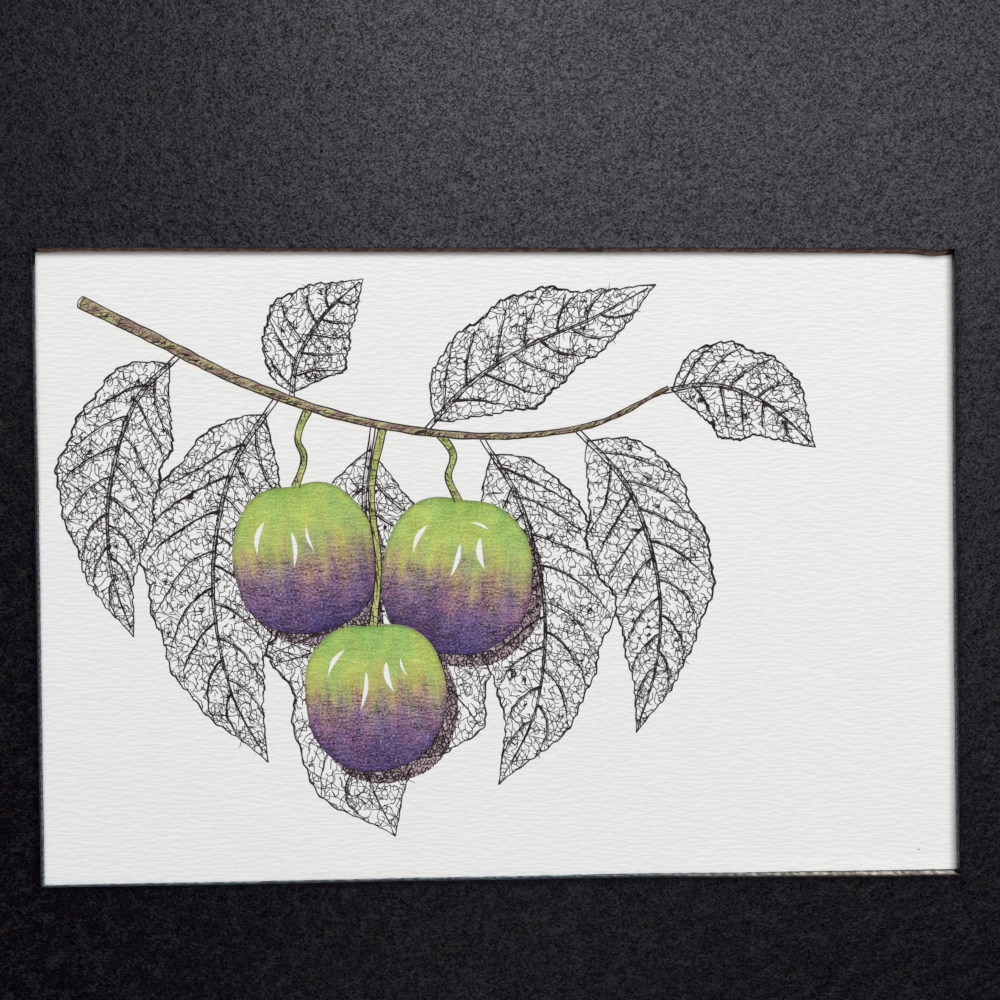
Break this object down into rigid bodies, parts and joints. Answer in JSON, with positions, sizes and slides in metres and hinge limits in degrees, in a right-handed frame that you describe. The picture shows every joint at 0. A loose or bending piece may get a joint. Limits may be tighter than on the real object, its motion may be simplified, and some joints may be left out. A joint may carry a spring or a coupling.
{
  "type": "matted picture",
  "caption": "Small landscape picture on textured white card, behind a hand-cut window in a black mat board, on a grey backing board.",
  "frame": {"origin": "middle of the backing board's back face, on the surface that the picture lies on", "axes": "+X along the picture's width to its right side, +Y to its top edge, +Z out of its face"},
  "size_m": [0.254, 0.203, 0.0047],
  "materials": {
    "black_mat": "matte",
    "white_card": "matte",
    "grey_board": "matte",
    "foam_tape": "matte",
    "tab_tissue": "matte",
    "cross_tape": "matte"
  },
  "bodies": {
    "root": {"mat_board": "black_mat", "art_card": "white_card", "backing_board": "grey_board", "tape_top": "foam_tape", "tape_bottom": "foam_tape", "tape_left": "foam_tape", "tape_right": "foam_tape", "hanging_tab_left": "tab_tissue", "hanging_tab_right": "tab_tissue", "cross_strip_left": "cross_tape", "cross_strip_right": "cross_tape"}
  },
  "joints": []
}
